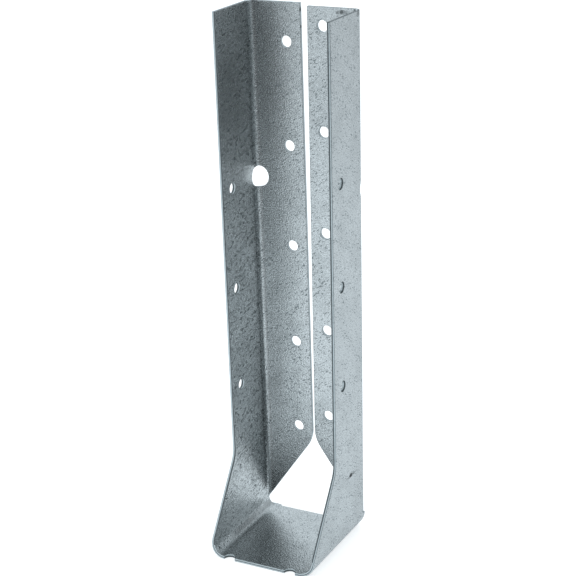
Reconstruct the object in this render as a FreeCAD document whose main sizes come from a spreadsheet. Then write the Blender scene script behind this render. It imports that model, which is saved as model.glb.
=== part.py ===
import FreeCAD, Part
import math
import os
import Sketcher

# Concealed joist hanger, folded from one sheet: a seat, two side panels and two flanges turned inwards.
# Millimetres. X runs across the hanger, +Y points to the header behind the flanges, +Z is up.
# The origin is the middle of the footprint, on the underside of the seat.

document = FreeCAD.newDocument("hanger")
os.makedirs("parts", exist_ok=True)
sizes = document.addObject("Spreadsheet::Sheet", "Sizes")

# Sizes that can be changed
chosen = [
    ("insideWidth", 39.69, "clear width between the panels at the seat"),
    ("sheet", 1.2, "sheet thickness"),
    ("seatDepth", 44.45, "from the front edge of the seat to the header face"),
    ("rightHeight", 196.85, "top of the right side above the underside of the seat"),
    ("leftRise", 1.0, "how much taller the left side stands"),
    ("leftSeatBend", 4.8, "outer radius of the bend between seat and left panel"),
    ("rightSeatBend", 7.0, "outer radius of the bend between seat and right panel"),
    ("flangeBend", 3.6, "outer radius of the bends between panels and flanges"),
    ("leanAcross", 1.03, "how far each side leans outwards over leanOver"),
    ("leanOver", 196.85, "height over which leanAcross is measured"),
    ("halfGap", 0.4, "half of the gap between the flanges, at the seat bends"),
    ("panelDepth", 25.8, "width of the panels above the shoulder"),
    ("leftShoulderHeight", 33.2, "height where the left panel starts to taper"),
    ("rightShoulderHeight", 34.3, "height where the right panel starts to taper"),
    ("leftToeHeight", 32.65, "height where the left flange starts to taper"),
    ("rightToeHeight", 33.2, "height where the right flange starts to taper"),
    ("taperAngle", 55.0, "slope of every taper, in degrees above the horizontal"),
    ("shoulderRadius", 9.0, "rounding of the panel's shoulder"),
    ("noseRadius", 2.5, "rounding where the panel's taper meets the front edge"),
    ("toeRadius", 12.7, "rounding of the flange's lower free corner"),
    ("leftOpeningMargin", 0.15, "from the left foot of the rear opening to the panel's inner face"),
    ("leftOpeningCorner", 2.0, "rounding at the left foot of the rear opening"),
    ("rightOpeningMargin", 1.1, "from the right foot of the rear opening to the panel's inner face"),
    ("rightOpeningCorner", 3.0, "rounding at the right foot of the rear opening"),
    ("openingDrop", 0.9, "how far the rear opening reaches below the top of the left seat bend"),
    ("reliefDepth", 1.6, "from the header face to the front of the relief behind each seat bend"),
    ("reliefCorner", 1.5, "rounding of the relief"),
    ("reliefRise", 1.0, "how far the relief reaches above the seat bend"),
    ("reliefFloor", 0.1, "from the seat up to the relief"),
    ("recessDepth", 0.95, "from the header face to the seat's rear edge"),
    ("recessInset", 0.85, "from the seat bend to the end of that edge"),
    ("recessCorner", 0.5, "rounding at the ends of that edge"),
    ("notchRadius", 2.2, "radius of the round notches in the seat's front edge"),
    ("leftNotchInset", 7.15, "left notch from the left outer face"),
    ("rightNotchInset", 10.25, "right notch from the right outer face"),
    ("nailHoleRadius", 2.1, "radius of every nail hole"),
    ("stagger", 6.25, "how much higher the nail holes of the right side are"),
    ("holeMargin", 5.0, "least distance from a nail hole to the top edge"),
    ("flangeHoleInset", 14.9, "flange holes from the panel's outer face"),
    ("flangeHoleRise", 4.65, "lowest hole of the left flange above the start of its taper"),
    ("flangeHoleStep", 34.35, "from the lowest flange hole to the next"),
    ("flangeHolePitch", 37.45, "spacing of the other flange holes"),
    ("panelHoleDepth", 19.3, "panel holes from the header face"),
    ("panelHoleRise", 26.1, "lowest hole of the left panel above the start of its taper"),
    ("panelHolePitch", 37.5, "spacing of the panel holes"),
    ("panelHoleCount", 3, "most holes in one panel"),
    ("bendHoleRadius", 3.95, "radius of the large hole across each flange bend"),
    ("bendHoleDrop", 62.65, "large holes below the top of the right side"),
    ("bendHoleInset", 2.1, "centre of a large hole from the panel's outer face"),
    ("leftBendHoleDepth", 0.85, "centre of the left large hole in front of the header face"),
    ("rightBendHoleDepth", -0.35, "centre of the right large hole, behind the header face when negative"),
    ("clearance", 10.0, "how far the cutting shapes run past the sheet"),
]

# Places that follow from them
followed = [
    ("innerHalf", "=insideWidth / 2"),
    ("outerHalf", "=innerHalf + sheet"),
    ("backY", "=seatDepth / 2"),
    ("flangeFrontY", "=backY - sheet"),
    ("clearY", "=backY + clearance"),
    ("clearZ", "=rightHeight + leftRise + clearance"),
    ("leanSlope", "=leanAcross / leanOver"),
    ("leftBendX", "=outerHalf - leftSeatBend"),
    ("leftInnerBend", "=leftSeatBend - sheet"),
    ("leftFaceX", "=outerHalf - leanSlope * leftSeatBend"),
    ("leftLength", "=rightHeight + leftRise - leftSeatBend"),
    ("rightBendX", "=outerHalf - rightSeatBend"),
    ("rightInnerBend", "=rightSeatBend - sheet"),
    ("rightFaceX", "=outerHalf - leanSlope * rightSeatBend"),
    ("rightLength", "=rightHeight - rightSeatBend"),
    ("seatCut", "=2 * sheet"),
    ("flangeBendX", "=outerHalf - flangeBend"),
    ("flangeBendY", "=backY - flangeBend"),
    ("flangeInnerBend", "=flangeBend - sheet"),
    ("halfTurn", "=(90 - taperAngle) / 2"),
    ("shoulderY", "=backY - panelDepth"),
    ("shoulderRun", "=shoulderRadius * tan(halfTurn)"),
    ("shoulderFootY", "=shoulderY - shoulderRun * cos(taperAngle)"),
    ("shoulderDrop", "=shoulderRun * sin(taperAngle)"),
    ("taperDrop", "=(seatDepth - panelDepth) * tan(taperAngle)"),
    ("noseRun", "=noseRadius * tan(halfTurn)"),
    ("noseTopY", "=backY - noseRun * cos(taperAngle)"),
    ("noseRise", "=noseRun * sin(taperAngle)"),
    ("leftShoulderTopZ", "=leftShoulderHeight + shoulderRun"),
    ("leftShoulderFootZ", "=leftShoulderHeight - shoulderDrop"),
    ("leftNoseTopZ", "=leftShoulderHeight - taperDrop + noseRise"),
    ("leftNoseFootZ", "=leftShoulderHeight - taperDrop - noseRun"),
    ("rightShoulderTopZ", "=rightShoulderHeight + shoulderRun"),
    ("rightShoulderFootZ", "=rightShoulderHeight - shoulderDrop"),
    ("rightNoseTopZ", "=rightShoulderHeight - taperDrop + noseRise"),
    ("rightNoseFootZ", "=rightShoulderHeight - taperDrop - noseRun"),
    ("toeRun", "=toeRadius * tan(halfTurn)"),
    ("toeDrop", "=toeRun * sin(taperAngle)"),
    ("toeReach", "=toeRun * cos(taperAngle)"),
    ("leftToeX", "=halfGap + leanSlope * (leftToeHeight - leftSeatBend)"),
    ("leftToeTopZ", "=leftToeHeight + toeRun"),
    ("leftToeFootX", "=leftToeX + toeReach"),
    ("leftToeFootZ", "=leftToeHeight - toeDrop"),
    ("rightToeX", "=halfGap + leanSlope * (rightToeHeight - rightSeatBend)"),
    ("rightToeTopZ", "=rightToeHeight + toeRun"),
    ("rightToeFootX", "=rightToeX + toeReach"),
    ("rightToeFootZ", "=rightToeHeight - toeDrop"),
    ("leftOpeningX", "=innerHalf - leftOpeningMargin"),
    ("leftOpeningRun", "=leftOpeningCorner * tan(halfTurn)"),
    ("leftOpeningTopX", "=leftOpeningX - leftOpeningRun * cos(taperAngle)"),
    ("leftOpeningZ", "=leftToeHeight - (leftOpeningX - leftToeX) * tan(taperAngle)"),
    ("leftOpeningTopZ", "=leftOpeningZ + leftOpeningRun * sin(taperAngle)"),
    ("leftOpeningSideZ", "=leftOpeningZ - leftOpeningRun"),
    ("rightOpeningX", "=innerHalf - rightOpeningMargin"),
    ("rightOpeningRun", "=rightOpeningCorner * tan(halfTurn)"),
    ("rightOpeningTopX", "=rightOpeningX - rightOpeningRun * cos(taperAngle)"),
    ("rightOpeningZ", "=rightToeHeight - (rightOpeningX - rightToeX) * tan(taperAngle)"),
    ("rightOpeningTopZ", "=rightOpeningZ + rightOpeningRun * sin(taperAngle)"),
    ("rightOpeningSideZ", "=rightOpeningZ - rightOpeningRun"),
    ("openingFootZ", "=leftSeatBend - openingDrop"),
    ("reliefY", "=backY - reliefDepth"),
    ("reliefCornerY", "=reliefY + reliefCorner"),
    ("reliefFootZ", "=sheet + reliefFloor"),
    ("reliefFootCornerZ", "=reliefFootZ + reliefCorner"),
    ("leftReliefTopZ", "=leftSeatBend + reliefRise"),
    ("leftReliefCornerZ", "=leftReliefTopZ - reliefCorner"),
    ("rightReliefTopZ", "=rightSeatBend + reliefRise"),
    ("rightReliefCornerZ", "=rightReliefTopZ - reliefCorner"),
    ("leftRecessX", "=leftBendX - recessInset"),
    ("leftRecessCornerX", "=leftRecessX - recessCorner"),
    ("rightRecessX", "=rightBendX - recessInset"),
    ("rightRecessCornerX", "=rightRecessX - recessCorner"),
    ("recessY", "=backY - recessDepth"),
    ("recessCornerY", "=recessY + recessCorner"),
    ("leftNotchX", "=outerHalf - leftNotchInset"),
    ("rightNotchX", "=outerHalf - rightNotchInset"),
    ("leftFootZ", "=leftToeHeight + flangeHoleRise"),
    ("leftFootX", "=leftFaceX - flangeHoleInset + leanSlope * leftFootZ"),
    ("leftRowZ", "=leftFootZ + flangeHoleStep"),
    ("leftRowX", "=leftFaceX - flangeHoleInset + leanSlope * leftRowZ"),
    ("leftTopX", "=leftRowX + leanAcross"),
    ("leftTopZ", "=leftRowZ + leanOver"),
    ("leftRowCount", "=floor((rightHeight + leftRise - holeMargin - leftRowZ) / flangeHolePitch) + 1"),
    ("rightFootZ", "=leftFootZ + stagger"),
    ("rightFootX", "=rightFaceX - flangeHoleInset + leanSlope * rightFootZ"),
    ("rightRowZ", "=leftRowZ + stagger"),
    ("rightRowX", "=rightFaceX - flangeHoleInset + leanSlope * rightRowZ"),
    ("rightTopX", "=rightRowX + leanAcross"),
    ("rightTopZ", "=rightRowZ + leanOver"),
    ("rightRowCount", "=floor((rightHeight - holeMargin - rightRowZ) / flangeHolePitch) + 1"),
    ("panelHoleY", "=backY - panelHoleDepth"),
    ("leftPanelZ", "=leftShoulderHeight + panelHoleRise"),
    ("rightPanelZ", "=leftPanelZ + stagger"),
    ("panelRoom", "=floor((rightHeight - holeMargin - rightPanelZ) / panelHolePitch) + 1"),
    ("panelRowCount", "=min(panelHoleCount; panelRoom)"),
    ("bendHoleZ", "=rightHeight - bendHoleDrop"),
    ("leftBendHoleY", "=backY - leftBendHoleDepth"),
    ("rightBendHoleY", "=backY - rightBendHoleDepth"),
    ("bendMiddle", "=flangeBend - flangeInnerBend * cos(45)"),
    ("bendMiddleY", "=backY - bendMiddle"),
    ("leftBendHoleX", "=leftFaceX - bendHoleInset + leanSlope * bendHoleZ"),
    ("leftMiddleX", "=leftFaceX - bendMiddle + leanSlope * bendHoleZ"),
    ("rightBendHoleX", "=rightFaceX - bendHoleInset + leanSlope * bendHoleZ"),
    ("rightMiddleX", "=rightFaceX - bendMiddle + leanSlope * bendHoleZ"),
]

row = 1
for name, value, meaning in chosen:
    sizes.set("A%d" % row, name)
    sizes.set("B%d" % row, str(value))
    sizes.set("C%d" % row, meaning)
    sizes.setAlias("B%d" % row, name)
    row += 1
for name, formula in followed:
    sizes.set("A%d" % row, name)
    sizes.set("B%d" % row, formula)
    sizes.setAlias("B%d" % row, name)
    row += 1
document.recompute()

body = document.addObject("PartDesign::Body", "hanger")
body.Label = "hanger"
document.recompute()


def amount(term):
    # The value of a named size, or of its negative
    if term == "0":
        return 0.0
    if term.startswith("-"):
        return -float(getattr(sizes, term[1:]))
    return float(getattr(sizes, term))


def formula_of(term):
    if term == "0":
        return "0"
    if term.startswith("-"):
        return "-Sizes." + term[1:]
    return "Sizes." + term


def point(corner):
    return FreeCAD.Vector(amount(corner[0]), amount(corner[1]), 0)


def new_sketch(name, role, offset=None):
    # A sketch on one of the body's planes, moved along the plane's normal by a named size
    sketch = body.newObject("Sketcher::SketchObject", name)
    for feature in body.Origin.OriginFeatures:
        if feature.Role == role:
            sketch.AttachmentSupport = [(feature, "")]
    sketch.MapMode = "FlatFace"
    if offset:
        sketch.AttachmentOffset.Base.z = amount(offset)
        sketch.setExpression(".AttachmentOffset.Base.z", formula_of(offset))
    sketch.Visibility = False
    return sketch


def drive(sketch, kind, places, term):
    index = sketch.addConstraint(Sketcher.Constraint(kind, *places, amount(term)))
    sketch.setExpression("Constraints[%d]" % index, formula_of(term))


def fix_point(sketch, edge, end, corner):
    # Holds one point of an edge at its two distances from the origin
    for kind, term in (("DistanceX", corner[0]), ("DistanceY", corner[1])):
        if term != "0":
            drive(sketch, kind, (-1, 1, edge, end), term)
    if corner[0] == "0":
        sketch.addConstraint(Sketcher.Constraint("PointOnObject", edge, end, -2))
    if corner[1] == "0":
        sketch.addConstraint(Sketcher.Constraint("PointOnObject", edge, end, -1))


def arc_between(start, finish, radius, turn):
    # The short arc from start to finish. A turn of 1 runs anticlockwise, -1 clockwise.
    chord = finish - start
    height = math.sqrt(max(radius ** 2 - (chord.Length / 2) ** 2, 0.0))
    side = FreeCAD.Vector(-chord.y, chord.x, 0).normalize() * height * turn
    centre = start + chord / 2 + side
    first, last = (start, finish) if turn > 0 else (finish, start)
    begin = math.atan2(first.y - centre.y, first.x - centre.x)
    end = math.atan2(last.y - centre.y, last.x - centre.x)
    if end < begin:
        end += 2 * math.pi
    return Part.ArcOfCircle(Part.Circle(centre, FreeCAD.Vector(0, 0, 1), radius), begin, end)


def outline(sketch, corners):
    # A closed outline. Each corner is (x, y), or (x, y, radius, turn) where an arc leads to the next one.
    edges = []
    for i, corner in enumerate(corners):
        start = point(corner)
        finish = point(corners[(i + 1) % len(corners)])
        if len(corner) == 2:
            edges.append((sketch.addGeometry(Part.LineSegment(start, finish), False), 1, 2))
        else:
            arc = arc_between(start, finish, amount(corner[2]), corner[3])
            ends = (1, 2) if corner[3] > 0 else (2, 1)
            edges.append((sketch.addGeometry(arc, False),) + ends)
    for i, (edge, start, finish) in enumerate(edges):
        following = edges[(i + 1) % len(edges)]
        sketch.addConstraint(Sketcher.Constraint("Coincident", edge, finish, following[0], following[1]))
        fix_point(sketch, edge, start, corners[i])
        if len(corners[i]) > 2:
            drive(sketch, "Radius", (edge,), corners[i][2])


def round_hole(sketch, centre, radius):
    shape = Part.Circle(point(centre), FreeCAD.Vector(0, 0, 1), amount(radius))
    edge = sketch.addGeometry(shape, False)
    drive(sketch, "Radius", (edge,), radius)
    fix_point(sketch, edge, 3, centre)


def pad(name, sketch, length, lean=None):
    # A pad along the sketch's normal, or leaning to the side by the named slope
    feature = body.newObject("PartDesign::Pad", name)
    feature.Profile = sketch
    feature.setExpression("Length", formula_of(length))
    if lean:
        feature.UseCustomVector = True
        feature.AlongSketchNormal = True
        feature.Direction = FreeCAD.Vector(amount(lean), 0, 1)
        feature.setExpression("Direction.x", formula_of(lean))
    else:
        feature.SideType = "Symmetric"
    document.recompute()
    return feature


def pocket(name, sketch, way, length=None):
    # A pocket against the sketch's normal, or along it
    before = body.Shape.Volume
    feature = body.newObject("PartDesign::Pocket", name)
    feature.Profile = sketch
    feature.Reversed = way == "along"
    if length:
        feature.Type = "Length"
        feature.setExpression("Length", formula_of(length))
    else:
        feature.Type = "ThroughAll"
    document.recompute()
    if feature.Shape.isNull() or feature.Shape.Volume >= before:
        raise ValueError(name + " cuts nothing")
    return feature


def repeat(name, feature, sketch, direction, spacing, count):
    # Repeats a pocket in a straight row
    pattern = body.newObject("PartDesign::LinearPattern", name)
    pattern.Originals = [feature]
    pattern.Direction = (sketch, [direction])
    pattern.Mode = "Spacing"
    pattern.setExpression("Offset", formula_of(spacing))
    pattern.setExpression("Occurrences", formula_of(count))
    body.Tip = pattern
    document.recompute()
    return pattern


# Seat with the bend at each side
sketch = new_sketch("SeatProfile", "XZ_Plane")
outline(sketch, [
    ("-leftBendX", "0"),
    ("rightBendX", "0", "rightSeatBend", 1),
    ("outerHalf", "rightSeatBend"),
    ("innerHalf", "rightSeatBend", "rightInnerBend", -1),
    ("rightBendX", "sheet"),
    ("-leftBendX", "sheet", "leftInnerBend", -1),
    ("-innerHalf", "leftSeatBend"),
    ("-outerHalf", "leftSeatBend", "leftSeatBend", 1),
])
pad("Seat", sketch, "seatDepth")

# Right side: panel, bend and flange
sketch = new_sketch("RightProfile", "XY_Plane", "rightSeatBend")
outline(sketch, [
    ("outerHalf", "-backY"),
    ("outerHalf", "flangeBendY", "flangeBend", 1),
    ("flangeBendX", "backY"),
    ("halfGap", "backY"),
    ("halfGap", "flangeFrontY"),
    ("flangeBendX", "flangeFrontY", "flangeInnerBend", -1),
    ("innerHalf", "flangeBendY"),
    ("innerHalf", "-backY"),
])
pad("RightSide", sketch, "rightLength", "leanSlope")

# Left side
sketch = new_sketch("LeftProfile", "XY_Plane", "leftSeatBend")
outline(sketch, [
    ("-outerHalf", "-backY"),
    ("-innerHalf", "-backY"),
    ("-innerHalf", "flangeBendY", "flangeInnerBend", -1),
    ("-flangeBendX", "flangeFrontY"),
    ("-halfGap", "flangeFrontY"),
    ("-halfGap", "backY"),
    ("-flangeBendX", "backY", "flangeBend", 1),
    ("-outerHalf", "flangeBendY"),
])
pad("LeftSide", sketch, "leftLength", "-leanSlope")

# Front edge of each panel, from the top down over the shoulder to the nose
for side, way in (("left", "against"), ("right", "along")):
    sketch = new_sketch(side + "FrontOutline", "YZ_Plane")
    outline(sketch, [
        ("shoulderY", "clearZ"),
        ("-clearY", "clearZ"),
        ("-clearY", side + "NoseFootZ"),
        ("-backY", side + "NoseFootZ", "noseRadius", -1),
        ("-noseTopY", side + "NoseTopZ"),
        ("shoulderFootY", side + "ShoulderFootZ", "shoulderRadius", 1),
        ("shoulderY", side + "ShoulderTopZ"),
    ])
    pocket(side + "FrontCut", sketch, way)

# Opening between the tapers of the flanges
sketch = new_sketch("OpeningOutline", "XZ_Plane", "-flangeBendY")
outline(sketch, [
    ("-leftToeX", "leftToeTopZ", "toeRadius", -1),
    ("-leftToeFootX", "leftToeFootZ"),
    ("-leftOpeningTopX", "leftOpeningTopZ", "leftOpeningCorner", 1),
    ("-leftOpeningX", "leftOpeningSideZ"),
    ("-leftOpeningX", "openingFootZ"),
    ("rightOpeningX", "openingFootZ"),
    ("rightOpeningX", "rightOpeningSideZ", "rightOpeningCorner", 1),
    ("rightOpeningTopX", "rightOpeningTopZ"),
    ("rightToeFootX", "rightToeFootZ", "toeRadius", -1),
    ("rightToeX", "rightToeTopZ"),
])
pocket("RearOpening", sketch, "against")

# Relief where seat, panel and flange meet, open to the back
for side, way in (("left", "against"), ("right", "along")):
    sketch = new_sketch(side + "ReliefOutline", "YZ_Plane")
    outline(sketch, [
        ("clearY", "reliefFootZ"),
        ("clearY", side + "ReliefTopZ"),
        ("reliefCornerY", side + "ReliefTopZ", "reliefCorner", 1),
        ("reliefY", side + "ReliefCornerZ"),
        ("reliefY", "reliefFootCornerZ", "reliefCorner", 1),
        ("reliefCornerY", "reliefFootZ"),
    ])
    pocket(side + "Relief", sketch, way)

# Rear edge of the seat
sketch = new_sketch("RecessOutline", "XY_Plane")
outline(sketch, [
    ("-leftRecessX", "clearY"),
    ("-leftRecessX", "recessCornerY", "recessCorner", 1),
    ("-leftRecessCornerX", "recessY"),
    ("rightRecessCornerX", "recessY", "recessCorner", 1),
    ("rightRecessX", "recessCornerY"),
    ("rightRecessX", "clearY"),
])
pocket("SeatRear", sketch, "along", "seatCut")

# Notches in the front edge of the seat
sketch = new_sketch("NotchOutline", "XY_Plane")
round_hole(sketch, ("-leftNotchX", "-backY"), "notchRadius")
round_hole(sketch, ("rightNotchX", "-backY"), "notchRadius")
pocket("Notches", sketch, "along", "seatCut")

# Nail holes of the flanges: the lowest by itself, the others in a row that leans with the side
for side, sign in (("left", "-"), ("right", "")):
    foot = new_sketch(side + "FlangeFoot", "XZ_Plane")
    round_hole(foot, (sign + side + "FootX", side + "FootZ"), "nailHoleRadius")
    pocket(side + "FlangeFootHole", foot, "against")
    start = new_sketch(side + "FlangeRow", "XZ_Plane")
    ends = [(sign + side + "RowX", side + "RowZ"), (sign + side + "TopX", side + "TopZ")]
    round_hole(start, ends[0], "nailHoleRadius")
    line = start.addGeometry(Part.LineSegment(point(ends[0]), point(ends[1])), True)
    fix_point(start, line, 1, ends[0])
    fix_point(start, line, 2, ends[1])
    first = pocket(side + "FlangeHole", start, "against")
    repeat(side + "FlangeHoles", first, start, "Axis0", "flangeHolePitch", side + "RowCount")

# Nail holes of the panels
for side, way in (("left", "against"), ("right", "along")):
    start = new_sketch(side + "PanelRow", "YZ_Plane")
    round_hole(start, ("panelHoleY", side + "PanelZ"), "nailHoleRadius")
    first = pocket(side + "PanelHole", start, way)
    repeat(side + "PanelHoles", first, start, "V_Axis", "panelHolePitch", "panelRowCount")

# Large holes across the flange bends, cut through the flange half and the panel half of each bend
for side, sign, way in (("left", "-", "against"), ("right", "", "along")):
    sketch = new_sketch(side + "BendFlange", "XZ_Plane", "-bendMiddleY")
    round_hole(sketch, (sign + side + "BendHoleX", "bendHoleZ"), "bendHoleRadius")
    pocket(side + "BendFlangeCut", sketch, "against")
    sketch = new_sketch(side + "BendPanel", "YZ_Plane", sign + side + "MiddleX")
    round_hole(sketch, (side + "BendHoleY", "bendHoleZ"), "bendHoleRadius")
    pocket(side + "BendPanelCut", sketch, way)

document.recompute()
for item in document.Objects:
    if "Invalid" in item.State or "Error" in item.State:
        raise ValueError(item.Name + " failed")
shape = body.Shape
if shape.isNull() or not shape.isValid() or len(shape.Solids) != 1:
    raise ValueError("the hanger is not one valid solid")
shape.exportStep("parts/" + body.Label + ".step")
box = shape.BoundBox
print("solids", len(shape.Solids), "faces", len(shape.Faces), "volume", round(shape.Volume, 1))
print("box", box.XMin, box.XMax, box.YMin, box.YMax, box.ZMin, box.ZMax)
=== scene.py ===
import math
import bpy
from mathutils import Matrix

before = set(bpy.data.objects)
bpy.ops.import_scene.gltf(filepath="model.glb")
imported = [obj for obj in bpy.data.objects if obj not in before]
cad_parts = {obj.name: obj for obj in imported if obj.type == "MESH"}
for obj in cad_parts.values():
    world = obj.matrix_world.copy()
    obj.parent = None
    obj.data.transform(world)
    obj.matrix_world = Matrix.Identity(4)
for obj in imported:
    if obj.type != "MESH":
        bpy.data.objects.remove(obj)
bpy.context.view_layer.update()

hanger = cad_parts["hanger"]


def emptyTree(owner):
    owner.use_nodes = True
    owner.node_tree.nodes.clear()
    return owner.node_tree


def addNode(tree, kind, inputs=None, **settings):
    node = tree.nodes.new(kind)
    for name, value in settings.items():
        setattr(node, name, value)
    for key, value in (inputs or {}).items():
        if isinstance(value, bpy.types.NodeSocket):
            tree.links.new(value, node.inputs[key])
        else:
            node.inputs[key].default_value = value
    return node


def calc(tree, operation, *terms):
    return addNode(tree, "ShaderNodeMath", dict(enumerate(terms)), operation=operation).outputs[0]


def plus(tree, *terms):
    total = terms[0]
    for term in terms[1:]:
        total = calc(tree, "ADD", total, term)
    return total


def times(tree, *terms):
    product = terms[0]
    for term in terms[1:]:
        product = calc(tree, "MULTIPLY", product, term)
    return product


def minus(tree, first, second):
    return calc(tree, "SUBTRACT", first, second)


def isAbove(tree, value, limit):
    return calc(tree, "GREATER_THAN", value, limit)


def isBelow(tree, value, limit):
    return calc(tree, "LESS_THAN", value, limit)


def vectorCalc(tree, operation, *terms):
    node = addNode(tree, "ShaderNodeVectorMath", dict(enumerate(terms)), operation=operation)
    return node.outputs["Value" if operation in ("DOT_PRODUCT", "LENGTH") else "Vector"]


def scaled(tree, vector, amount):
    node = addNode(tree, "ShaderNodeVectorMath", {0: vector, "Scale": amount}, operation="SCALE")
    return node.outputs["Vector"]


def joinVector(tree, x, y, z):
    return addNode(tree, "ShaderNodeCombineXYZ", {0: x, 1: y, 2: z}).outputs[0]


def fade(tree, value, low, high, lowResult=0.0, highResult=1.0):
    # A smooth step from lowResult to highResult
    places = {"Value": value, "From Min": low, "From Max": high, "To Min": lowResult, "To Max": highResult}
    node = addNode(tree, "ShaderNodeMapRange", places, interpolation_type="SMOOTHSTEP")
    return node.outputs["Result"]


def noise(tree, place, scale, detail=2.0, rough=0.5, warp=0.0):
    inputs = {"Vector": place, "Scale": scale, "Detail": detail, "Roughness": rough, "Distortion": warp}
    return addNode(tree, "ShaderNodeTexNoise", inputs).outputs["Fac"]


def blendValue(tree, share, first, second):
    return addNode(tree, "ShaderNodeMix", {0: share, 2: first, 3: second}, data_type="FLOAT").outputs[0]


def blendColour(tree, share, first, second):
    return addNode(tree, "ShaderNodeMix", {0: share, 6: first, 7: second}, data_type="RGBA").outputs[2]


# Camera, at the photograph's viewing angle
cameraSet = {
    "place": (0.245312, -0.463056, 0.292014),
    "azimuth": 27.728,
    "elevation": 20.052,
    "roll": -1.687,
    "lens": 98.797,
    "sensor": 36.0,
    "near": 0.01,
    "far": 20.0,
}


def makeCamera(use):
    data = bpy.data.cameras.new("productCamera")
    data.lens = use["lens"]
    data.sensor_width = use["sensor"]
    data.clip_start = use["near"]
    data.clip_end = use["far"]
    camera = bpy.data.objects.new("productCamera", data)
    turn = Matrix.Rotation(math.radians(use["azimuth"]), 4, "Z")
    tip = Matrix.Rotation(math.radians(90.0 - use["elevation"]), 4, "X")
    roll = Matrix.Rotation(math.radians(use["roll"]), 4, "Z")
    camera.matrix_world = Matrix.Translation(use["place"]) @ turn @ tip @ roll
    bpy.context.scene.collection.objects.link(camera)
    bpy.context.scene.camera = camera


makeCamera(cameraSet)
print("camera ready")

# From here to the studio all lengths are in millimetres
metre = 1000.0

# The folded sheet's own shape, for telling its bends and cut edges from its faces
sheetShape = {
    "thickness": 1.2,
    "lean": 0.0052324,
    "flangeBend": 3.6,
    "flangeBendPlace": (17.445, 18.625),
    "leftSeatBend": 4.8,
    "rightSeatBend": 7.0,
    "outerHalf": 21.045,
    "seatTop": 3.5,
    "leftInside": (-20.96, -19.0),
}


def cornerDistance(tree, across, along, radius):
    # How far a place lies outside a rounded corner, negative inside
    outX = calc(tree, "MAXIMUM", across, 0.0)
    outY = calc(tree, "MAXIMUM", along, 0.0)
    outside = calc(tree, "SQRT", plus(tree, times(tree, outX, outX), times(tree, outY, outY)))
    inside = calc(tree, "MINIMUM", calc(tree, "MAXIMUM", across, along), 0.0)
    return minus(tree, plus(tree, outside, inside), radius)


def sheetPlace(tree, place, shape):
    # Where a place lies on the folded sheet, as sockets by name
    parts = addNode(tree, "ShaderNodeSeparateXYZ", {0: place}).outputs
    at = {"x": parts[0], "y": parts[1], "z": parts[2]}
    at["width"] = calc(tree, "ABSOLUTE", at["x"])
    at["isRight"] = isAbove(tree, at["x"], 0.0)
    bendX, bendY = shape["flangeBendPlace"]
    upright = minus(tree, at["width"], times(tree, at["z"], shape["lean"]))
    at["pastX"] = minus(tree, upright, bendX)
    pastY = minus(tree, at["y"], bendY)
    at["isFlange"] = isAbove(tree, pastY, 0.0)
    at["roundBack"] = minus(tree, pastY, at["pastX"])
    radius = blendValue(tree, at["isRight"], shape["leftSeatBend"], shape["rightSeatBend"])
    at["isSide"] = isAbove(tree, at["z"], radius)
    across = plus(tree, minus(tree, at["width"], shape["outerHalf"]), radius)
    under = minus(tree, radius, at["z"])
    at["roundSeat"] = minus(tree, under, across)
    side = cornerDistance(tree, at["pastX"], pastY, shape["flangeBend"])
    seat = cornerDistance(tree, across, under, radius)
    # 0 on the outer face, and minus the thickness on the inner one
    at["depth"] = blendValue(tree, at["isSide"], seat, side)
    return at


# Short dark flecks in rows, drawn out along the two panels and darker inside the left one
flecks = {
    "colour": (0.25, 0.28, 0.29, 1.0),
    "insideColour": (0.18, 0.20, 0.205, 1.0),
    "cover": 0.9,
    "angle": 35.0,
    "length": 0.65,
    "width": 0.25,
    "scale": 0.55,
    "detail": 1.5,
    "warp": 0.35,
    "rowWidth": 2.3,
    "rowLength": 9.2,
    "rowStrength": 0.3,
    "threshold": 0.62,
    "blur": 0.05,
    "insideMore": 0.032,
    "leftSqueeze": 0.62,
    "rightSqueeze": 0.85,
    "sideShift": 40.0,
}


def flatPlace(tree, at, use, shape):
    # Place on the unfolded sheet: s round the bends of the flanges, t up the sides and over the seat
    isSeat = isBelow(tree, at["z"], shape["seatTop"])
    notSeat = minus(tree, 1.0, isSeat)
    s = minus(tree, at["y"], times(tree, at["width"], notSeat))
    onPanel = times(tree, calc(tree, "MINIMUM", s, 0.0), notSeat)
    squeeze = blendValue(tree, at["isRight"], use["leftSqueeze"], use["rightSqueeze"])
    s = minus(tree, s, times(tree, onPanel, minus(tree, 1.0, squeeze)))
    upward = times(tree, calc(tree, "SIGN", at["x"]), at["z"], notSeat)
    t = times(tree, plus(tree, upward, times(tree, at["x"], isSeat)), -1.0)
    return s, t


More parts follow.
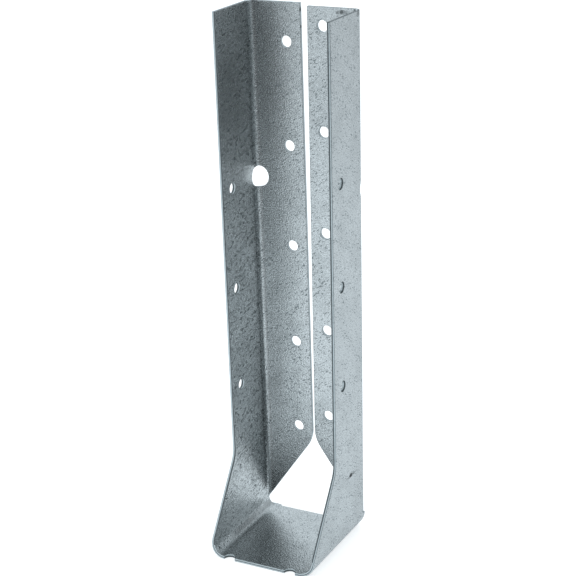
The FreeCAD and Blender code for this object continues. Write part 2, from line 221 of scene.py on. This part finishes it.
def makeFlecks(tree, at, use, shape):
    # How much of a place is fleck, and whether it is inside the left panel
    s, t = flatPlace(tree, at, use, shape)
    cosine = math.cos(math.radians(use["angle"]))
    sine = math.sin(math.radians(use["angle"]))
    along = plus(tree, times(tree, s, cosine), times(tree, t, sine))
    across = minus(tree, times(tree, t, cosine), times(tree, s, sine))
    side = times(tree, calc(tree, "SIGN", at["x"]), use["sideShift"])
    dashAlong = calc(tree, "DIVIDE", along, use["length"])
    dashAcross = calc(tree, "DIVIDE", across, use["width"])
    dashPlace = joinVector(tree, dashAlong, dashAcross, side)
    dashes = noise(tree, dashPlace, use["scale"], use["detail"], warp=use["warp"])
    rowAlong = calc(tree, "DIVIDE", along, use["rowLength"])
    rowAcross = calc(tree, "DIVIDE", across, use["rowWidth"])
    rows = noise(tree, joinVector(tree, rowAlong, rowAcross, side), 1.0, 1.0)
    rows = times(tree, minus(tree, rows, 0.5), use["rowStrength"])
    outerLimit, innerLimit = shape["leftInside"]
    isInside = times(tree, isBelow(tree, at["x"], innerLimit), isAbove(tree, at["x"], outerLimit))
    isInside = times(tree, isInside, isBelow(tree, s, 0.0))
    strength = plus(tree, dashes, rows, times(tree, isInside, use["insideMore"]))
    return fade(tree, strength, use["threshold"], use["threshold"] + use["blur"]), isInside


# Painted shade on the bends, a darker colour there: where round the bend, where along it, and how much
bendShades = {
    "left": 0.62,
    "right": 0.16,
    "backTurn": (0.4, 1.4),
    "backRunIn": 0.5,
    "backShare": 0.6,
    "seatTurn": (-3.0, -1.8),
    "seatTurnEnd": (0.0, 1.2),
    "seatEndShare": 0.1,
    "frontRun": (-14.0, -6.0),
    "frontShare": 0.1,
    "rearRun": (2.0, 12.0),
    "middleShare": 0.85,
    "rearShare": 0.4,
}


def makeBendShade(tree, at, use):
    # How much the bends are darkened as painted shade
    back = fade(tree, at["roundBack"], *use["backTurn"])
    back = times(tree, back, fade(tree, at["pastX"], 0.0, use["backRunIn"], 0.0, use["backShare"]))
    seat = fade(tree, at["roundSeat"], *use["seatTurn"])
    seat = times(tree, seat, fade(tree, at["roundSeat"], *use["seatTurnEnd"], 1.0, use["seatEndShare"]))
    seat = times(tree, seat, fade(tree, at["y"], *use["frontRun"], use["frontShare"], 1.0))
    seat = times(tree, seat, fade(tree, at["y"], *use["rearRun"], use["middleShare"], use["rearShare"]))
    most = blendValue(tree, at["isRight"], use["left"], use["right"])
    return times(tree, calc(tree, "MAXIMUM", back, seat), most)


# Sheared edges, with a smooth part and a rough, dark one that is partly painted shade, most of all on the
# walls of the holes and the gap. Depths run from 0 on the outer face.
cutEdges = {
    "smooth": (0.60, 0.65, 0.665, 1.0),
    "rough": (0.12, 0.135, 0.14, 1.0),
    "faceMargin": (0.08, 0.04),
    "roughPart": (0.5, 0.62),
    "seatLine": (0.1, 0.18),
    "notchRun": (-22.1, -19.5),
    "notchShare": 0.55,
    "holesFrom": -2.5,
    "holesHeight": (34.8, 195.7),
    "holePart": (-0.82, -0.64),
    "flangeDark": 0.3,
    "topFrom": 196.7,
    "topWider": 0.4,
    "outerLine": (-0.36, -0.24),
    "outerDark": 0.6,
}


def makeCutEdges(tree, at, use, shape):
    # How far a place is on a cut edge, and on its rough, dark part, which is partly painted shade
    thickness = shape["thickness"]
    y, z, depth, isSide = at["y"], at["z"], at["depth"], at["isSide"]
    fromMiddle = calc(tree, "ABSOLUTE", plus(tree, depth, thickness / 2))
    cut = fade(tree, fromMiddle, *[thickness / 2 - margin for margin in use["faceMargin"]], 1.0, 0.0)
    # Rough towards the inner face on the panels, and along the middle of the seat
    inner = fade(tree, depth, *[part - thickness for part in use["roughPart"]], 1.0, 0.0)
    inner = times(tree, inner, isSide)
    line = times(tree, fade(tree, fromMiddle, *use["seatLine"], 1.0, 0.0), minus(tree, 1.0, isSide))
    # Rough in the lower half of the notches
    notchFrom, notchTo = use["notchRun"]
    notch = times(tree, isAbove(tree, y, notchFrom), isBelow(tree, y, notchTo))
    notch = times(tree, notch, isBelow(tree, z, thickness * use["notchShare"]))
    inner = calc(tree, "MAXIMUM", inner, calc(tree, "MAXIMUM", line, notch))
    # Rough near the outer face in the holes of the panels, and a little all over on the flanges; here the
    # dark is painted shade on the walls of the holes and the gap
    holesAbove, holesBelow = use["holesHeight"]
    hole = times(tree, isAbove(tree, y, use["holesFrom"]), isAbove(tree, z, holesAbove))
    hole = times(tree, hole, isBelow(tree, z, holesBelow))
    inner = times(tree, inner, minus(tree, 1.0, calc(tree, "MAXIMUM", at["isFlange"], hole)))
    holePart = blendValue(tree, at["isFlange"], fade(tree, depth, *use["holePart"]), use["flangeDark"])
    rough = calc(tree, "MAXIMUM", inner, times(tree, hole, holePart))
    # The right side's cut also ends in a dark line along its outer face, wider at the top
    isTop = isAbove(tree, z, use["topFrom"])
    widened = plus(tree, depth, times(tree, isTop, use["topWider"]))
    outer = fade(tree, widened, *use["outerLine"], 0.0, blendValue(tree, isTop, use["outerDark"], 1.0))
    outer = times(tree, outer, isSide, at["isRight"])
    return cut, times(tree, cut, calc(tree, "MAXIMUM", rough, outer))


# Dark marks, some of them dirt and wear and some painted shade: middle, reach along each axis, and how dark
marks = [
    {"at": (21.2, 8.7, 27.6), "reach": (2.0, 1.8, 1.05), "dark": 1.0},  # nick low on the right panel
    {"at": (21.2, 9.3, 27.45), "reach": (2.0, 6.5, 0.5), "dark": 0.45},
    {"at": (21.2, 11.2, 27.4), "reach": (2.0, 1.9, 0.55), "dark": 0.5},
    {"at": (14.9, 21.0, 195.4), "reach": (2.9, 1.0, 1.0), "dark": 0.45},  # smudge on the right flange
    {"at": (14.5, 21.0, 195.5), "reach": (0.9, 1.0, 0.9), "dark": 0.8},
    {"at": (12.9, 21.0, 195.2), "reach": (0.7, 1.0, 0.7), "dark": 0.55},
    {"at": (22.0, 18.2, 196.0), "reach": (2.0, 1.6, 1.2), "dark": 0.55},  # top corner of the right panel
    {"at": (-1.1, 21.4, 195.5), "reach": (0.6, 2.0, 1.5), "dark": 0.8},  # left edge of the gap
    {"at": (-1.1, 21.4, 189.5), "reach": (0.6, 2.0, 0.8), "dark": 0.7},
    {"at": (21.5, 17.0, 12.0), "reach": (3.0, 9.0, 22.0), "dark": 0.12},  # painted shades, soft: this one and the next two
    {"at": (-19.2, 2.0, 168.0), "reach": (2.6, 22.0, 42.0), "dark": 0.42},
    {"at": (-16.0, 23.0, 52.0), "reach": (8.0, 3.0, 60.0), "dark": 0.22},
]
markEdge = {"from": 0.45, "to": 1.0, "ragged": 0.6}


def makeDirtAndShade(tree, place, grain, spots, edge):
    # Dirt and wear marks and painted shades, all drawn as darkening towards one colour
    dirtAndShade = 0.0
    ragged = times(tree, minus(tree, grain, 0.5), edge["ragged"])
    for spot in spots:
        away = vectorCalc(tree, "SUBTRACT", place, spot["at"])
        away = vectorCalc(tree, "LENGTH", vectorCalc(tree, "DIVIDE", away, spot["reach"]))
        share = fade(tree, plus(tree, away, ragged), edge["from"], edge["to"], spot["dark"], 0.0)
        dirtAndShade = calc(tree, "MAXIMUM", dirtAndShade, share)
    return dirtAndShade


# The zinc itself, and what each piece of wear and painted shade does to it
galvanised = {
    "zinc": (0.578, 0.600, 0.603, 1.0),
    "zincDull": (0.532, 0.554, 0.557, 1.0),
    "grimeAndShade": (0.05, 0.054, 0.056, 1.0),
    "cloudSize": 11.0,
    "cloudDetail": 3.0,
    "cloudRough": 0.6,
    "cloudRange": (0.42, 0.66),
    "grainSize": 0.5,
    "grainRough": 0.55,
    "speckSize": 0.33,
    "speckRange": (0.3, 0.7),
    "speckDark": 0.78,
    "speckLight": 1.17,
    "speckDarkInside": 0.68,
    "speckLightInside": 1.32,
    "roughness": 0.185,
    "roughnessCut": 0.42,
    "cloudRoughness": 0.05,
    "fleckRoughness": 0.12,
    "grimeAndShadeRoughness": 0.25,
    "bumpHeight": 0.11,
    "fleckDepth": 0.4,
    "grimeAndShadeDepth": 1.2,
    "edgeRounding": 0.32,
    "edgeSamples": 6,
    "rimShadeRange": (0.86, 0.985),
    "rimShadeDark": 0.45,
}


def makeGalvanised(use):
    material = bpy.data.materials.new("galvanisedSteel")
    tree = emptyTree(material)
    place = scaled(tree, addNode(tree, "ShaderNodeTexCoord").outputs["Object"], metre)
    at = sheetPlace(tree, place, sheetShape)
    fleck, isInside = makeFlecks(tree, at, flecks, sheetShape)
    cut, roughAndShadedCut = makeCutEdges(tree, at, cutEdges, sheetShape)
    grain = noise(tree, place, 1.0 / use["grainSize"], rough=use["grainRough"])
    fine = noise(tree, place, 1.0 / use["speckSize"], 1.0)
    cloud = noise(tree, place, 1.0 / use["cloudSize"], use["cloudDetail"], use["cloudRough"])
    cloud = fade(tree, cloud, *use["cloudRange"])
    # Dirt and wear marks, with the painted shades among them
    dirtAndShade = makeDirtAndShade(tree, place, grain, marks, markEdge)

    # Colour: clouds and specks in the zinc, with painted shade on the bends, then flecks, cut edges, dirt and
    # painted shades, and a painted shade along the rim of every edge
    dark = blendValue(tree, isInside, use["speckDark"], use["speckDarkInside"])
    light = blendValue(tree, isInside, use["speckLight"], use["speckLightInside"])
    speck = fade(tree, fine, *use["speckRange"], dark, light)
    # The bends are darkened as painted shade
    speck = times(tree, speck, minus(tree, 1.0, makeBendShade(tree, at, bendShades)))
    zinc = scaled(tree, blendColour(tree, cloud, use["zinc"], use["zincDull"]), speck)
    fleckPaint = blendColour(tree, isInside, flecks["colour"], flecks["insideColour"])
    colour = blendColour(tree, times(tree, fleck, flecks["cover"]), zinc, fleckPaint)
    colour = blendColour(tree, cut, colour, cutEdges["smooth"])
    # The rough, dark part of the cut edges, partly painted shade
    colour = blendColour(tree, roughAndShadedCut, colour, cutEdges["rough"])
    # Dirt and painted shade both darken towards the grime colour
    colour = blendColour(tree, dirtAndShade, colour, use["grimeAndShade"])
    rounded = addNode(tree, "ShaderNodeBevel", {"Radius": use["edgeRounding"] / metre},
                      samples=use["edgeSamples"]).outputs[0]
    flat = addNode(tree, "ShaderNodeNewGeometry").outputs["Normal"]
    # Painted shade along the rim of every edge, where the rounded normal turns away from the flat one
    paintedRimShade = fade(tree, vectorCalc(tree, "DOT_PRODUCT", rounded, flat), *use["rimShadeRange"], use["rimShadeDark"], 0.0)
    colour = blendColour(tree, paintedRimShade, colour, cutEdges["rough"])

    rough = plus(tree, times(tree, cloud, use["cloudRoughness"]), use["roughness"])
    rough = plus(tree, rough, times(tree, fleck, use["fleckRoughness"]))
    rough = plus(tree, rough, times(tree, cut, use["roughnessCut"] - use["roughness"]))
    rough = plus(tree, rough, times(tree, dirtAndShade, use["grimeAndShadeRoughness"]))
    height = minus(tree, grain, times(tree, fleck, use["fleckDepth"]))
    height = minus(tree, height, times(tree, dirtAndShade, use["grimeAndShadeDepth"]))
    bump = addNode(tree, "ShaderNodeBump", {
        "Height": height,
        "Distance": use["bumpHeight"] / metre,
        "Normal": rounded,
    }).outputs[0]
    surface = addNode(tree, "ShaderNodeBsdfPrincipled", {
        "Base Color": colour,
        "Metallic": 1.0,
        "Roughness": rough,
        "Normal": bump,
    })
    addNode(tree, "ShaderNodeOutputMaterial", {"Surface": surface.outputs[0]})
    return material


# Shading of the bends: edges sharper than this many degrees stay crisp
bendShading = {"sharpFrom": 25.0, "joinWithin": 0.005}


def smoothBends(piece, use):
    tree = bpy.data.node_groups.new("smoothBends", "GeometryNodeTree")
    tree.interface.new_socket("Geometry", in_out="INPUT", socket_type="NodeSocketGeometry")
    sharpFrom = tree.interface.new_socket("Sharp from", in_out="INPUT", socket_type="NodeSocketFloat")
    joinWithin = tree.interface.new_socket("Join within", in_out="INPUT", socket_type="NodeSocketFloat")
    tree.interface.new_socket("Geometry", in_out="OUTPUT", socket_type="NodeSocketGeometry")
    given = tree.nodes.new("NodeGroupInput").outputs
    joined = addNode(tree, "GeometryNodeMergeByDistance", {"Geometry": given[0], "Distance": given[2]})
    turned = addNode(tree, "GeometryNodeInputMeshEdgeAngle").outputs["Unsigned Angle"]
    sharp = addNode(tree, "FunctionNodeCompare", {0: turned, 1: given[1]}, operation="GREATER_THAN")
    faces = addNode(tree, "GeometryNodeSetShadeSmooth", {"Geometry": joined.outputs[0], "Shade Smooth": True})
    creases = addNode(tree, "GeometryNodeSetShadeSmooth", {
        "Geometry": faces.outputs[0],
        "Selection": sharp.outputs[0],
        "Shade Smooth": False,
    }, domain="EDGE")
    addNode(tree, "NodeGroupOutput", {0: creases.outputs[0]})
    modifier = piece.modifiers.new("smoothBends", "NODES")
    modifier.node_group = tree
    modifier[sharpFrom.identifier] = math.radians(use["sharpFrom"])
    modifier[joinWithin.identifier] = use["joinWithin"] / metre


hanger.data.materials.clear()
hanger.data.materials.append(makeGalvanised(galvanised))
smoothBends(hanger, bendShading)
print("galvanised sheet ready")

# Studio, in metres. The metal mirrors a cool white floor and sky, and the camera sees both as white.
white = (1.0, 1.0, 1.0, 1.0)
coolWhite = (0.905, 1.0, 1.06, 1.0)

floorSet = {
    "size": 6.0,
    "colour": (0.8, 0.8, 0.8),
    "cameraGlow": 0.6,
    "mirrorGlow": 0.33,
    "farFrom": 0.25,
    "farTo": 1.0,
    "farLevel": 0.8,
    "frontWay": (-0.445, -0.895, 0.0),
    "frontBlur": 0.15,
    "frontLevels": (0.905, 1.1),
    "spotPlace": (0.45, -0.72, 0.0),
    "spotOutward": (0.458, -0.889, 0.0),
    "spotSideways": (0.889, 0.458, 0.0),
    "spotStretch": 1.8,
    "spotRange": (0.34, 0.56),
    "spotLevel": 0.03,
}


def mirroredFloor(tree, use):
    # How light each place of the floor is in reflections, with a dark oval spot at the front right
    place = addNode(tree, "ShaderNodeTexCoord").outputs["Object"]
    away = vectorCalc(tree, "SUBTRACT", place, use["spotPlace"])
    outward = vectorCalc(tree, "DOT_PRODUCT", away, use["spotOutward"])
    sideways = vectorCalc(tree, "DOT_PRODUCT", away, use["spotSideways"])
    oval = joinVector(tree, outward, calc(tree, "DIVIDE", sideways, use["spotStretch"]), 0.0)
    spot = fade(tree, vectorCalc(tree, "LENGTH", oval), *use["spotRange"], use["spotLevel"], 1.0)
    far = fade(tree, vectorCalc(tree, "LENGTH", place), use["farFrom"], use["farTo"], 1.0, use["farLevel"])
    front = vectorCalc(tree, "DOT_PRODUCT", place, use["frontWay"])
    front = fade(tree, front, -use["frontBlur"], use["frontBlur"], *use["frontLevels"])
    return times(tree, spot, far, front)


def makeFloor(use):
    half = use["size"] / 2
    mesh = bpy.data.meshes.new("floor")
    corners = [(-half, -half, 0), (half, -half, 0), (half, half, 0), (-half, half, 0)]
    mesh.from_pydata(corners, [], [(0, 1, 2, 3)])
    floor = bpy.data.objects.new("floor", mesh)
    bpy.context.scene.collection.objects.link(floor)
    material = bpy.data.materials.new("paleFloor")
    tree = emptyTree(material)
    ray = addNode(tree, "ShaderNodeLightPath").outputs
    mirrored = calc(tree, "MAXIMUM", ray["Is Glossy Ray"], ray["Is Transmission Ray"])
    level = mirroredFloor(tree, use)
    lost = times(tree, mirrored, minus(tree, 1.0, level))
    paint = scaled(tree, use["colour"], minus(tree, 1.0, lost))
    cover = addNode(tree, "ShaderNodeBsdfDiffuse", {"Color": paint}).outputs[0]
    tint = blendColour(tree, lost, coolWhite, white)
    tint = blendColour(tree, ray["Is Camera Ray"], tint, white)
    seen = times(tree, ray["Is Camera Ray"], use["cameraGlow"])
    strength = plus(tree, seen, times(tree, mirrored, level, use["mirrorGlow"]))
    glow = addNode(tree, "ShaderNodeEmission", {"Color": tint, "Strength": strength}).outputs[0]
    lit = addNode(tree, "ShaderNodeAddShader", {0: cover, 1: glow}).outputs[0]
    addNode(tree, "ShaderNodeOutputMaterial", {"Surface": lit})
    mesh.materials.append(material)


# Soft light from all round, darker low at the front right and a little behind
skySet = {
    "level": 0.95,
    "frontToward": (0.55, -0.83, 0.05),
    "frontRange": (0.62, 0.93),
    "frontDark": 0.05,
    "behindToward": (0.45, 0.8, 0.38),
    "behindRange": (0.84, 0.95),
    "behindDark": 0.8,
}


def makeWorld(use):
    world = bpy.data.worlds.new("studio")
    bpy.context.scene.world = world
    tree = emptyTree(world)
    seen = addNode(tree, "ShaderNodeLightPath").outputs["Is Camera Ray"]
    toward = addNode(tree, "ShaderNodeTexCoord").outputs["Generated"]
    front = vectorCalc(tree, "DOT_PRODUCT", toward, use["frontToward"])
    level = fade(tree, front, *use["frontRange"], use["level"], use["frontDark"])
    behind = vectorCalc(tree, "DOT_PRODUCT", toward, use["behindToward"])
    level = times(tree, level, fade(tree, behind, *use["behindRange"], 1.0, use["behindDark"]))
    colour = blendColour(tree, seen, coolWhite, white)
    strength = calc(tree, "MAXIMUM", level, seen)
    back = addNode(tree, "ShaderNodeBackground", {"Color": colour, "Strength": strength})
    addNode(tree, "ShaderNodeOutputWorld", {"Surface": back.outputs[0]})


makeFloor(floorSet)
makeWorld(skySet)
print("floor and light ready")

bpy.context.scene.view_settings.view_transform = "Standard"
